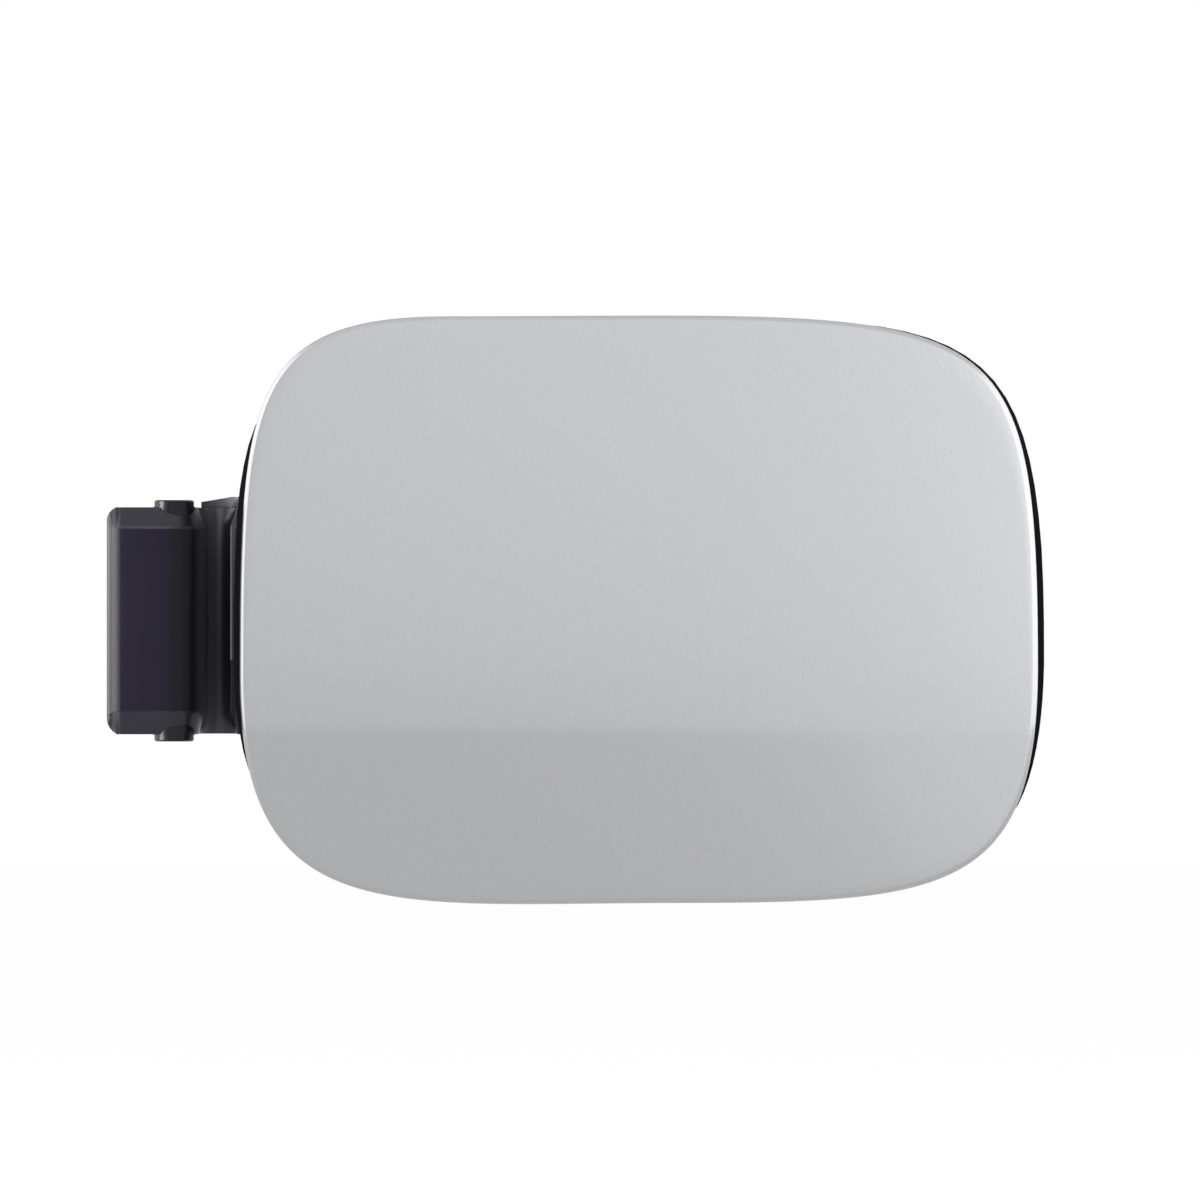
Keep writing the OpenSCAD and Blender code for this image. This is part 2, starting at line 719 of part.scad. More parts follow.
// Pockets for the two ends of the detent leaf
leaf_front = flat_depth + 0.05;
leaf_left = -arm_reach + arm_wall + 1.05;
leaf_right = slot_left - arm_wall - 0.3;
leaf_fit = 0.15;
pocket_half = leaf_width / 2 + 2;
module leaf_pockets() {
    difference() {
        union() {
            translate([-arm_reach + 1, leaf_front - 1.6, arm_middle - pocket_half])
                cube([4.2, leaf_thick + 3.6, 2 * pocket_half]);
            translate([4.5, leaf_front - 0.9, arm_middle - pocket_half])
                cube([2, leaf_thick + 2.9, 2 * pocket_half]);
        }
        translate([leaf_left - leaf_fit, leaf_front - leaf_fit, arm_middle - leaf_width / 2 - leaf_fit])
            cube([leaf_right - leaf_left + 2 * leaf_fit, leaf_thick + 2 * leaf_fit, leaf_width + 2 * leaf_fit]);
    }
}

module hinge_arm() {
    color(black_plastic)
        difference() {
            union() {
                difference() {
                    intersection() {
                        arm_solid();
                        translate([-arm_reach - 1, -arm_front - 1, arm_bottom])
                            cube([root_reach + arm_reach + 2, arm_front + arm_back + 2, arm_height]);
                    }
                    translate([0, 0, arm_bottom + arm_cheek])
                        linear_extrude(arm_height - 2 * arm_cheek)
                            polygon(hollow_path);
                }
                arm_shoulder();
                for (z = neck_webs) neck_web(z);
                for (z = box_webs) box_web(z);
                leaf_pockets();
            }
            translate([0, 0, -1])
                cylinder(h = arm_height + 3, r = journal_dia / 2 + pivot_clear, $fn = fine);
            for (p = arm_screws)
                bar_y(p[0], p[1], pad_plane - 1, pad_plane + root_thick + 1, thread_dia / 2 + hole_clear);
            // Step in the lip below the middle
            translate([slot_right - 1, lip_front - 1, arm_bottom - 1])
                cube([2.25, 6, 19.6]);
        }
}

module detent_spring() {
    color(steel)
        translate([leaf_left, leaf_front, arm_middle - leaf_width / 2])
            cube([leaf_right - leaf_left, leaf_thick, leaf_width]);
}

// Turned shaft with keyed stubs, two journals and two detent flats
key_depth = 0.8;
key_chamfer = 0.35;
shaft_flat_half = leaf_width / 2 + 1;
module pivot_shaft() {
    color(shaft_plastic)
        difference() {
            rotate_extrude($fn = fine)
                polygon([
                    [0, -stub_length],
                    [stub_dia / 2 - key_chamfer, -stub_length],
                    [stub_dia / 2, -stub_length + key_chamfer],
                    [stub_dia / 2, 0],
                    [journal_dia / 2, 0],
                    [journal_dia / 2, arm_bottom + arm_cheek],
                    [shaft_waist / 2, arm_bottom + arm_cheek + 0.6],
                    [shaft_waist / 2, arm_top - arm_cheek - 0.6],
                    [journal_dia / 2, arm_top - arm_cheek],
                    [journal_dia / 2, shaft_top],
                    [stub_dia / 2, shaft_top],
                    [stub_dia / 2, shaft_top + stub_length - key_chamfer],
                    [stub_dia / 2 - key_chamfer, shaft_top + stub_length],
                    [0, shaft_top + stub_length]
                ]);
            for (z = [-stub_length - 1, shaft_top])
                translate([-10, stub_dia / 2 - key_depth, z])
                    cube([20, 10, stub_length + 1]);
            for (a = [0, -open_angle])
                rotate([0, 0, a])
                    translate([-10, flat_depth, arm_middle - shaft_flat_half])
                        cube([20, 10, 2 * shaft_flat_half]);
        }
}

// Pan-head screw along Y: the head's seat is at the given level and the shank runs forwards
head_height = 2.6;
module pan_screw(place, seat, length) {
    color(steel)
        translate([place[0], seat, place[1]])
            difference() {
                rotate([-90, 0, 0])
                    rotate_extrude($fn = small)
                        polygon([
                            [0, -length],
                            [thread_dia / 2 - 0.8, -length],
                            [thread_dia / 2, -length + 1.2],
                            [thread_dia / 2, 0],
                            [head_dia / 2, 0],
                            [head_dia / 2, head_height * 0.45],
                            [head_dia / 2 * 0.88, head_height * 0.8],
                            [head_dia / 2 * 0.62, head_height],
                            [0, head_height]
                        ]);
                for (a = [0, 90])
                    rotate([0, a, 0])
                        translate([-head_dia * 0.28, head_height - 1.3, -0.5])
                            cube([head_dia * 0.56, 3, 1]);
            }
}

arm_screw_length = root_thick + 6.5;
fitting_screw_length = 9;
module arm_screw(i) {
    pan_screw(arm_screws[i], pad_plane + root_thick, arm_screw_length);
}

module lock_eye_screw(i) {
    pan_screw(eye_screws[i], eye_seat + eye_base[1], fitting_screw_length);
}

module cap_holder_screw(i) {
    pan_screw(holder_screws[i], holder_seat + holder_base[1], fitting_screw_length);
}

// Weld stud with a shallow cone under its flange
stud_flange = 7;
stud_tip = 0.5;
stud_end = nut_height + 1.6;
module skin_stud(i) {
    p = studs[i];
    root = face_y(p[0], p[1], skin_sheet) + 0.05;
    length = face_y(p[0], p[1], stud_seat_depth) + stud_end - root;
    color(steel)
        translate([p[0], root, p[1]])
            rotate([-90, 0, 0])
                rotate_extrude($fn = small)
                    polygon([
                        [0, 0],
                        [stud_flange / 2, stud_tip],
                        [stud_flange / 2, stud_tip + 0.8],
                        [thread_dia / 2, stud_tip + 0.8],
                        [thread_dia / 2, length - 0.6],
                        [thread_dia / 2 - 0.6, length],
                        [0, length]
                    ]);
}

module stud_nut(i) {
    p = studs[i];
    seat = face_y(p[0], p[1], stud_seat_depth);
    corner_radius = nut_flats / 2 / cos(30);
    color(steel)
        translate([p[0], seat, p[1]])
            rotate([-90, 0, 0])
                difference() {
                    union() {
                        intersection() {
                            cylinder(h = nut_height, r = corner_radius, $fn = 6);
                            rotate_extrude($fn = small)
                                polygon([
                                    [0, 0],
                                    [corner_radius + 1, 0],
                                    [corner_radius + 1, nut_height - 1],
                                    [corner_radius - 0.9, nut_height],
                                    [0, nut_height]
                                ]);
                        }
                        rotate_extrude($fn = small)
                            polygon([
                                [0, 0],
                                [nut_flange / 2, 0],
                                [nut_flange / 2, 0.7],
                                [nut_flats / 2, 1.6],
                                [0, 1.6]
                            ]);
                    }
                    translate([0, 0, -1])
                        cylinder(h = nut_height + 2, r = thread_dia / 2 + screw_clear, $fn = small);
                }
}

// Rubber stop: a stem in the carrier's socket and a domed head behind it
module bump_stop(i) {
    p = stops[i];
    seat = face_y(p[0], p[1], stop_seat_depth);
    color(rubber)
        translate([p[0], seat, p[1]])
            rotate([-90, 0, 0])
                rotate_extrude($fn = fine)
                    polygon(concat(
                        [
                            [0, -stop_hole_depth + 0.4],
                            [stop_stem / 2 - 0.6, -stop_hole_depth + 0.4],
                            [stop_stem / 2, -stop_hole_depth + 1.4],
                            [stop_stem / 2, 0],
                            [stop_dia / 2, 0]
                        ],
                        [for (a = [0 : 15 : 75])
                            [stop_dia / 2 - 2 + 2 * cos(a), stop_height - 2 + 2 * sin(a)]],
                        [
                            [stop_dia / 2 - 2, stop_height],
                            [0, stop_height]
                        ]
                    ));
}

// Lock eye: a base on the carrier and a gusseted tongue with a cross bore
eye_half = 7;
module lock_eye() {
    base = [eye_place[0] - eye_base[0] / 2, eye_seat, eye_place[1] - eye_base[2] / 2];
    tip = eye_seat + eye_base[1] + eye_length - eye_half;
    color(black_plastic)
        difference() {
            union() {
                translate(base) cube(eye_base);
                translate([eye_place[0] - eye_thick / 2, eye_seat + join, eye_place[1] - eye_half])
                    cube([eye_thick, tip - eye_seat - join, 2 * eye_half]);
                translate([eye_place[0] - eye_thick / 2, tip, eye_place[1]])
                    rotate([0, 90, 0])
                        cylinder(h = eye_thick, r = eye_half, $fn = fine);
                // Gusset between the base and the tongue
                translate([0, 0, eye_place[1] - 1])
                    linear_extrude(2)
                        polygon([
                            [base[0] + 0.5, eye_seat + eye_base[1] - 0.5],
                            [base[0] + eye_base[0] - 0.5, eye_seat + eye_base[1] - 0.5],
                            [eye_place[0] + 1, eye_seat + eye_base[1] + 9],
                            [eye_place[0] - 1, eye_seat + eye_base[1] + 9]
                        ]);
            }
            translate([eye_place[0] - eye_thick, tip, eye_place[1]])
                rotate([0, 90, 0])
                    cylinder(h = 2 * eye_thick, r = eye_bore / 2, $fn = fine);
            for (p = eye_screws)
                bar_y(p[0], p[1], eye_seat - 1, eye_seat + eye_base[1] + 1, thread_dia / 2 + hole_clear);
        }
}

// Cap holder: a pocket open at the top, with a slot down its back wall
holder_wall = 2.2;
holder_width = 26;
module cap_holder() {
    x = holder_place[0];
    z = holder_place[1];
    back = holder_seat + holder_base[1] + holder_pocket + holder_wall;
    low = z - holder_base[2] / 2;
    color(black_plastic)
        difference() {
            union() {
                translate([x - holder_base[0] / 2, holder_seat, low]) cube(holder_base);
                translate([x - holder_width / 2, holder_seat + join, low])
                    cube([holder_width, back - holder_seat - join, holder_base[2]]);
            }
            translate([x - holder_width / 2 + holder_wall, holder_seat + holder_base[1], low + holder_wall])
                cube([holder_width - 2 * holder_wall, holder_pocket, holder_base[2]]);
            bar_y(x, low + holder_wall + holder_slot / 2 + 1, back - holder_wall - 1, back + 1, holder_slot / 2);
            translate([x - holder_slot / 2, back - holder_wall - 1, low + holder_wall + holder_slot / 2 + 1])
                cube([holder_slot, holder_wall + 2, holder_base[2]]);
            for (p = holder_screws)
                bar_y(p[0], p[1], holder_seat - 1, holder_seat + holder_base[1] + 1,
                    thread_dia / 2 + hole_clear);
        }
}

pivot_shaft();
outer_skin();
inner_carrier();
hinge_arm();
detent_spring();
for (i = [0 : 3]) arm_screw(i);
for (i = [0 : 4]) skin_stud(i);
for (i = [0 : 4]) stud_nut(i);
bump_stop(0);  // bump_stop_upper
bump_stop(1);  // bump_stop_lower
lock_eye();
for (i = [0 : 1]) lock_eye_screw(i);
cap_holder();
for (i = [0 : 1]) cap_holder_screw(i);
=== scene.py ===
import bpy
import bmesh
import math
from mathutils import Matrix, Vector


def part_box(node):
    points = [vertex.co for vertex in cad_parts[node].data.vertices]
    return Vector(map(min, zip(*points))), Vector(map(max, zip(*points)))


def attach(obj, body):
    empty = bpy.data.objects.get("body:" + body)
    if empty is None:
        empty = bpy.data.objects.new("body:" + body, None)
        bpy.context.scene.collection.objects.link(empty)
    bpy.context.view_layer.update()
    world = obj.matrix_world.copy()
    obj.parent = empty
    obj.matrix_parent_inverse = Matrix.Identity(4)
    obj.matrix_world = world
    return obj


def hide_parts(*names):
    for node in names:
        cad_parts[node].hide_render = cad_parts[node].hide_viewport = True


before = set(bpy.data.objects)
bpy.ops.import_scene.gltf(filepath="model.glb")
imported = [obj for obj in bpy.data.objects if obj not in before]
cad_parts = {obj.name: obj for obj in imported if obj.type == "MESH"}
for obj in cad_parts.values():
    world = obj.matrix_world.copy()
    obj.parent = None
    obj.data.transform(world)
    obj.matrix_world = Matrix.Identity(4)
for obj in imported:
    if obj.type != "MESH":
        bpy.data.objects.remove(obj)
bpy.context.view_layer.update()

scene = bpy.context.scene
millimetre = 0.001
print("frame loaded:", len(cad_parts), "nodes")


# shared helpers

def mixTo(a, b, share):
    return a + (b - a) * share


def newPiece(name, mesh, body):
    piece = bpy.data.objects.new(name, mesh)
    scene.collection.objects.link(piece)
    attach(piece, body)
    return piece


def meshFrom(name, points, faces):
    # points in millimetres, in the CAD's own frame
    mesh = bpy.data.meshes.new(name)
    mesh.from_pydata([[c * millimetre for c in p] for p in points], [], faces)
    mesh.validate()
    mesh.update()
    return mesh


def faceOutward(mesh):
    shape = bmesh.new()
    shape.from_mesh(mesh)
    bmesh.ops.recalc_face_normals(shape, faces=shape.faces)
    shape.to_mesh(mesh)
    shape.free()


def smoothMesh(mesh, sharpAngle):
    # smooth shading with hard edges kept where the faces turn by more than the angle
    shape = bmesh.new()
    shape.from_mesh(mesh)
    for face in shape.faces:
        face.smooth = True
    for edge in shape.edges:
        turned = edge.calc_face_angle(0) if len(edge.link_faces) == 2 else 0
        edge.smooth = turned < math.radians(sharpAngle)
    shape.to_mesh(mesh)
    shape.free()


copySet = {"join": 0.000004, "flatAngle": 0.4, "sharpAngle": 32, "segments": 2, "levelReach": 0.02,
           "leastTurn": 3}


def weighEdges(mesh, levels):
    # only the level edges in front, between a face and its bevel, are rounded
    reach, least = copySet["levelReach"], math.radians(copySet["leastTurn"])
    shape = bmesh.new()
    shape.from_mesh(mesh)
    weights = shape.edges.layers.float.new("bevel_weight_edge")
    for edge in shape.edges:
        turned = edge.calc_face_angle(0) if len(edge.link_faces) == 2 else 0
        heights = [end.co.z / millimetre for end in edge.verts]
        inFront = max(end.co.y for end in edge.verts) < 0
        onLevel = any(max(abs(height - level) for height in heights) < reach for level in levels)
        if inFront and onLevel and turned > least:
            edge[weights] = 1
    shape.to_mesh(mesh)
    shape.free()


def roundedCopy(node, body, width, sharpAngle, segments, levels):
    # the CAD piece again with its edges broken, as moulded and pressed edges are
    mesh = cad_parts[node].data.copy()
    mesh.name = node + "_fine"
    shape = bmesh.new()
    shape.from_mesh(mesh)
    bmesh.ops.remove_doubles(shape, verts=shape.verts, dist=copySet["join"])
    bmesh.ops.dissolve_limit(shape, angle_limit=math.radians(copySet["flatAngle"]), verts=shape.verts,
                             edges=shape.edges)
    shape.to_mesh(mesh)
    shape.free()
    mesh.materials.clear()
    smoothMesh(mesh, sharpAngle)
    piece = newPiece(node + "_fine", mesh, body)
    bevel = piece.modifiers.new("brokenEdges", "BEVEL")
    bevel.width = width * millimetre
    bevel.segments = segments
    if levels:
        weighEdges(mesh, levels)
        bevel.limit_method = "WEIGHT"
    else:
        bevel.limit_method = "ANGLE"
        bevel.angle_limit = math.radians(sharpAngle)
    bevel.use_clamp_overlap = True
    bevel.harden_normals = True
    bevel.miter_outer = "MITER_ARC"
    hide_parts(node)
    return piece


# camera

cameraSet = {"x": 0.10663, "z": 0.0338, "distance": 4.0, "aimDepth": -0.012, "frameWidth": 0.2996,
             "sensor": 36, "near": 0.05, "far": 40}

camData = bpy.data.cameras.new("frontCamera")
camData.sensor_width = cameraSet["sensor"]
camData.lens = cameraSet["sensor"] * cameraSet["distance"] / cameraSet["frameWidth"]
camData.clip_start = cameraSet["near"]
camData.clip_end = cameraSet["far"]
camera = bpy.data.objects.new("frontCamera", camData)
camera.location = (cameraSet["x"], cameraSet["aimDepth"] - cameraSet["distance"], cameraSet["z"])
camera.rotation_euler = (math.radians(90), 0, 0)
scene.collection.objects.link(camera)
scene.camera = camera
print("camera set")


# node helpers

def addNode(tree, kind, **values):
    node = tree.nodes.new(kind)
    for key, value in values.items():
        if hasattr(node, key):
            setattr(node, key, value)
        else:
            node.inputs[key].default_value = value
    return node


def setInput(node, name, value):
    node.inputs[name].default_value = value


def mathNode(tree, operation, first, second=None):
    node = tree.nodes.new("ShaderNodeMath")
    node.operation = operation
    for socket, value in ((node.inputs[0], first), (node.inputs[1], second)):
        if value is None:
            continue
        if hasattr(value, "links"):
            tree.links.new(value, socket)
        else:
            socket.default_value = value
    return node.outputs[0]


def addUp(tree, base, extra, share):
    # a base with a share of something added
    return mathNode(tree, "ADD", base, mathNode(tree, "MULTIPLY", extra, share))


def blendColour(tree, share, first, second):
    # first and second are colours or sockets
    node = tree.nodes.new("ShaderNodeMix")
    node.data_type = "RGBA"
    tree.links.new(share, node.inputs["Factor"])
    for label, value in (("A", first), ("B", second)):
        if hasattr(value, "links"):
            tree.links.new(value, node.inputs[label])
        else:
            node.inputs[label].default_value = (*value, 1)
    return node.outputs["Result"]


def placeAxes(tree):
    place = addNode(tree, "ShaderNodeTexCoord")
    split = addNode(tree, "ShaderNodeSeparateXYZ")
    tree.links.new(place.outputs["Object"], split.inputs[0])
    return split.outputs


def rampNode(tree, source, low, high, toLow=0.0, toHigh=1.0):
    node = tree.nodes.new("ShaderNodeMapRange")
    node.clamp = True
    tree.links.new(source, node.inputs["Value"])
    setInput(node, "From Min", low)
    setInput(node, "From Max", high)
    setInput(node, "To Min", toLow)
    setInput(node, "To Max", toHigh)
    return node.outputs["Result"]


def newGroup(name, inputs, outputs):
    group = bpy.data.node_groups.new(name, "ShaderNodeTree")
    for label, kind, value in inputs:
        socket = group.interface.new_socket(label, in_out="INPUT", socket_type=kind)
        socket.default_value = value
    for label, kind in outputs:
        group.interface.new_socket(label, in_out="OUTPUT", socket_type=kind)
    return group, group.nodes.new("NodeGroupInput"), group.nodes.new("NodeGroupOutput")


def mouldGrainGroup():
    # spark-eroded grain of moulded plastic, with slow changes in sheen
    group, given, out = newGroup(
        "mouldGrain",
        [("Grain Size", "NodeSocketFloat", 900.0), ("Depth", "NodeSocketFloat", 0.00002),
         ("Sheen Change", "NodeSocketFloat", 0.06), ("Base Roughness", "NodeSocketFloat", 0.45)],
        [("Normal", "NodeSocketVector"), ("Roughness", "NodeSocketFloat"), ("Tone", "NodeSocketFloat")])
    place = addNode(group, "ShaderNodeTexCoord")
    fineNoise = addNode(group, "ShaderNodeTexNoise", Detail=3.0, Roughness=0.6)
    group.links.new(place.outputs["Object"], fineNoise.inputs["Vector"])
    group.links.new(given.outputs["Grain Size"], fineNoise.inputs["Scale"])
    cells = addNode(group, "ShaderNodeTexVoronoi", feature="SMOOTH_F1")
    group.links.new(place.outputs["Object"], cells.inputs["Vector"])
    group.links.new(mathNode(group, "MULTIPLY", given.outputs["Grain Size"], 1.7), cells.inputs["Scale"])
    height = addUp(group, fineNoise.outputs["Fac"], cells.outputs["Distance"], 0.5)
    bump = addNode(group, "ShaderNodeBump", Strength=0.6)
    group.links.new(height, bump.inputs["Height"])
    group.links.new(given.outputs["Depth"], bump.inputs["Distance"])
    slow = addNode(group, "ShaderNodeTexNoise", Scale=28.0, Detail=4.0, Roughness=0.55)
    group.links.new(place.outputs["Object"], slow.inputs["Vector"])
    change = mathNode(group, "SUBTRACT", slow.outputs["Fac"], 0.5)
    group.links.new(addUp(group, given.outputs["Base Roughness"], change, given.outputs["Sheen Change"]),
                    out.inputs["Roughness"])
    group.links.new(bump.outputs["Normal"], out.inputs["Normal"])
    group.links.new(slow.outputs["Fac"], out.inputs["Tone"])
    return group


def handlingGroup():
    # hairline scratches and a little dust, strongest in patches
    group, given, out = newGroup(
        "handlingMarks",
        [("Scratch Size", "NodeSocketFloat", 90.0), ("Amount", "NodeSocketFloat", 0.3)],
        [("Scratches", "NodeSocketFloat"), ("Dust", "NodeSocketFloat")])
    place = addNode(group, "ShaderNodeTexCoord")
    lean = addNode(group, "ShaderNodeMapping")
    lean.inputs["Rotation"].default_value = (0.3, 0.9, 0.5)
    lean.inputs["Scale"].default_value = (1.0, 1.0, 14.0)
    group.links.new(place.outputs["Object"], lean.inputs["Vector"])
    lines = addNode(group, "ShaderNodeTexNoise", Detail=2.0, Roughness=0.4, Distortion=0.6)
    group.links.new(lean.outputs["Vector"], lines.inputs["Vector"])
    group.links.new(given.outputs["Scratch Size"], lines.inputs["Scale"])
    thin = rampNode(group, lines.outputs["Fac"], 0.66, 0.72)
    patch = addNode(group, "ShaderNodeTexNoise", Scale=17.0, Detail=3.0)
    group.links.new(place.outputs["Object"], patch.inputs["Vector"])
    inPatch = rampNode(group, patch.outputs["Fac"], 0.48, 0.7)
    scratch = mathNode(group, "MULTIPLY", mathNode(group, "MULTIPLY", thin, inPatch), given.outputs["Amount"])
    specks = addNode(group, "ShaderNodeTexNoise", Scale=1400.0, Detail=2.0)
    group.links.new(place.outputs["Object"], specks.inputs["Vector"])
    dust = mathNode(group, "MULTIPLY", rampNode(group, specks.outputs["Fac"], 0.7, 0.78),
                    given.outputs["Amount"])
    group.links.new(scratch, out.inputs["Scratches"])
    group.links.new(dust, out.inputs["Dust"])
    return group


def flakeGroup():
    # metallic flakes under the clear coat: tiny cells, each leaning its own way
    group, given, out = newGroup(
        "paintFlakes",
        [("Flake Size", "NodeSocketFloat", 5200.0), ("Flake Lean", "NodeSocketFloat", 0.00001),
         ("Peel Depth", "NodeSocketFloat", 0.00001)],
        [("Normal", "NodeSocketVector"), ("Tone", "NodeSocketFloat")])
    place = addNode(group, "ShaderNodeTexCoord")
    cells = addNode(group, "ShaderNodeTexVoronoi")
    group.links.new(place.outputs["Object"], cells.inputs["Vector"])
    group.links.new(given.outputs["Flake Size"], cells.inputs["Scale"])
    split = addNode(group, "ShaderNodeSeparateColor")
    group.links.new(cells.outputs["Color"], split.inputs["Color"])
    peel = addNode(group, "ShaderNodeTexNoise", Scale=420.0, Detail=1.5)
    group.links.new(place.outputs["Object"], peel.inputs["Vector"])
    peelBump = addNode(group, "ShaderNodeBump", Strength=0.5)
    group.links.new(peel.outputs["Fac"], peelBump.inputs["Height"])
    group.links.new(given.outputs["Peel Depth"], peelBump.inputs["Distance"])
    flakeBump = addNode(group, "ShaderNodeBump", Strength=0.5)
    group.links.new(split.outputs["Red"], flakeBump.inputs["Height"])
    group.links.new(given.outputs["Flake Lean"], flakeBump.inputs["Distance"])
    group.links.new(peelBump.outputs["Normal"], flakeBump.inputs["Normal"])
    group.links.new(flakeBump.outputs["Normal"], out.inputs["Normal"])
    group.links.new(split.outputs["Green"], out.inputs["Tone"])
    return group


groups = {"grain": mouldGrainGroup(), "marks": handlingGroup(), "flakes": flakeGroup()}


def useGroup(tree, group, **values):
    node = tree.nodes.new("ShaderNodeGroup")
    node.node_tree = group
    for key, value in values.items():
        node.inputs[key.replace("_", " ")].default_value = value
    return node


def newMaterial(name, colour, metallic, roughness, **sockets):
    material = bpy.data.materials.new(name)
    material.use_nodes = True
    shader = material.node_tree.nodes["Principled BSDF"]
    setInput(shader, "Base Color", (*colour, 1))
    setInput(shader, "Metallic", metallic)
    setInput(shader, "Roughness", roughness)
    for key, value in sockets.items():
        setInput(shader, key.replace("_", " "), value)
    return material, material.node_tree, shader


# silver paint

paintSet = {"dark": (0.330, 0.331, 0.342), "light": (0.367, 0.369, 0.381), "metallic": 0.85,
            "roughness": 0.31, "flake": 5200.0, "flakeLean": 0.000006, "peel": 0.000006, "coat": 0.5,
            "coatRoughness": 0.08, "scratchSize": 60.0, "scratches": 0.12, "scratchRoughness": 0.2}


def silverPaint():
    material, tree, shader = newMaterial("silverPaint", paintSet["light"], paintSet["metallic"],
                                         paintSet["roughness"], Coat_Weight=paintSet["coat"],
                                         Coat_Roughness=paintSet["coatRoughness"])
    flakes = useGroup(tree, groups["flakes"], Flake_Size=paintSet["flake"],
                      Flake_Lean=paintSet["flakeLean"], Peel_Depth=paintSet["peel"])
    tree.links.new(flakes.outputs["Normal"], shader.inputs["Normal"])
    tree.links.new(blendColour(tree, flakes.outputs["Tone"], paintSet["dark"], paintSet["light"]),
                   shader.inputs["Base Color"])
    marks = useGroup(tree, groups["marks"], Scratch_Size=paintSet["scratchSize"],
                     Amount=paintSet["scratches"])
    rough = addUp(tree, paintSet["roughness"], marks.outputs["Scratches"], paintSet["scratchRoughness"])
    tree.links.new(rough, shader.inputs["Roughness"])
    return material


# black plastics and rubber

plasticSets = {
    "armPlastic": {"dark": (0.0018, 0.0010, 0.0050), "light": (0.0030, 0.0020, 0.0066), "roughness": 0.28,
                   "specular": 0.15, "grain": 1500.0, "depth": 0.000010, "sheen": 0.06, "marks": 0.25},
    "carrierPlastic": {"dark": (0.002, 0.002, 0.0023), "light": (0.0042, 0.0042, 0.005), "roughness": 0.5,
                       "specular": 0.07, "grain": 1100.0, "depth": 0.00003, "sheen": 0.08, "marks": 0.3},
    "fittingPlastic": {"dark": (0.010, 0.010, 0.0105), "light": (0.018, 0.018, 0.019), "roughness": 0.46,
                       "specular": 0.4, "grain": 1300.0, "depth": 0.00002, "sheen": 0.08, "marks": 0.3},
    "shaftPlastic": {"dark": (0.004, 0.0035, 0.006), "light": (0.006, 0.005, 0.009), "roughness": 0.24,
                     "specular": 0.2, "grain": 1800.0, "depth": 0.000006, "sheen": 0.05, "marks": 0.3},
    "stopRubber": {"dark": (0.010, 0.010, 0.010), "light": (0.020, 0.0195, 0.019), "roughness": 0.72,
                   "specular": 0.4, "grain": 700.0, "depth": 0.00004, "sheen": 0.12, "marks": 0.5},
}


# the turn into the arm's slot is darkened as painted shade; the slot gets a pale dust colour that also lifts
# its shade as painted light; and painted highlight lines run along the arm's front edges and its raised
# shoulder
armTones = {"turnStart": -0.0027, "turnEnd": 0.0008, "turn": (0.0012, 0.0009, 0.0028),
            "slotStart": 0.0040, "slotEnd": 0.0064, "lip": 0.0142, "lipSoft": 0.0003,
            "slotDepth": -0.006, "slotFade": 0.008, "farStart": 0.0085, "farEnd": 0.0125, "farShare": 0.2,
            "dust": (0.032, 0.030, 0.037), "paintedHighlight": (0.060, 0.058, 0.063),
            "frontStart": -0.001, "frontEnd": 0.0}

# painted highlight bands: axis, start, end, soft edge, share, and whether it stays on the front
paintedHighlightBands = (("X", -0.0150, -0.0139, 0.0008, 0.4, True), ("X", 0.0138, 0.0144, 0.0002, 0.5, True),
               ("Z", 0.0517, 0.0521, 0.0003, 0.1, True), ("Z", 0.0056, 0.0060, 0.0003, 0.05, True),
               ("Z", 0.05735, 0.0620, 0.0003, 0.5, False))


def armTone(tree, plain):
    axes = placeAxes(tree)
    x, y = axes["X"], axes["Y"]
    # painted shade: the turn into the slot is darker than the front face
    turned = rampNode(tree, x, armTones["turnStart"], armTones["turnEnd"])
    # the slot mask: a dust colour that is partly painted light, lifting the slot's shade
    inSlot = rampNode(tree, x, armTones["slotStart"], armTones["slotEnd"])
    for limit in (rampNode(tree, x, armTones["lip"], armTones["lip"] + armTones["lipSoft"], 1.0, 0.0),
                  rampNode(tree, y, armTones["slotDepth"], armTones["slotDepth"] + armTones["slotFade"]),
                  rampNode(tree, x, armTones["farStart"], armTones["farEnd"], 1.0, armTones["farShare"])):
        inSlot = mathNode(tree, "MULTIPLY", inSlot, limit)
    # painted highlights: pale lines along the arm's edges, lip and shoulder
    paintedHighlight = 0.0
    for axis, low, high, soft, share, frontOnly in paintedHighlightBands:
        band = mathNode(tree, "MULTIPLY", rampNode(tree, axes[axis], low - soft, low, 0.0, share),
                        rampNode(tree, axes[axis], high, high + soft, 1.0, 0.0))
        if frontOnly:
            front = rampNode(tree, y, armTones["frontStart"], armTones["frontEnd"], 1.0, 0.0)
            band = mathNode(tree, "MULTIPLY", band, front)
        paintedHighlight = mathNode(tree, "MAXIMUM", band, paintedHighlight)
    colour = plain
    # blends in the painted shade of the turn, the slot's dust and painted light, and the painted highlights
    for share, tone in ((turned, "turn"), (inSlot, "dust"), (paintedHighlight, "paintedHighlight")):
        colour = blendColour(tree, share, colour, armTones[tone])
    return colour


# the carrier is paler towards its back and darker towards its front
carrierTones = {"start": -0.0060, "end": -0.0015, "dust": (0.013, 0.013, 0.014)}


def carrierTone(tree, plain):
    share = rampNode(tree, placeAxes(tree)["Y"], carrierTones["start"], carrierTones["end"])
    return blendColour(tree, share, plain, carrierTones["dust"])


# wear that all the black mouldings share
mouldingSet = {"dust": (0.12, 0.115, 0.105), "dustShare": 0.25, "scratchSize": 110.0,
               "scratchRoughness": 0.25}


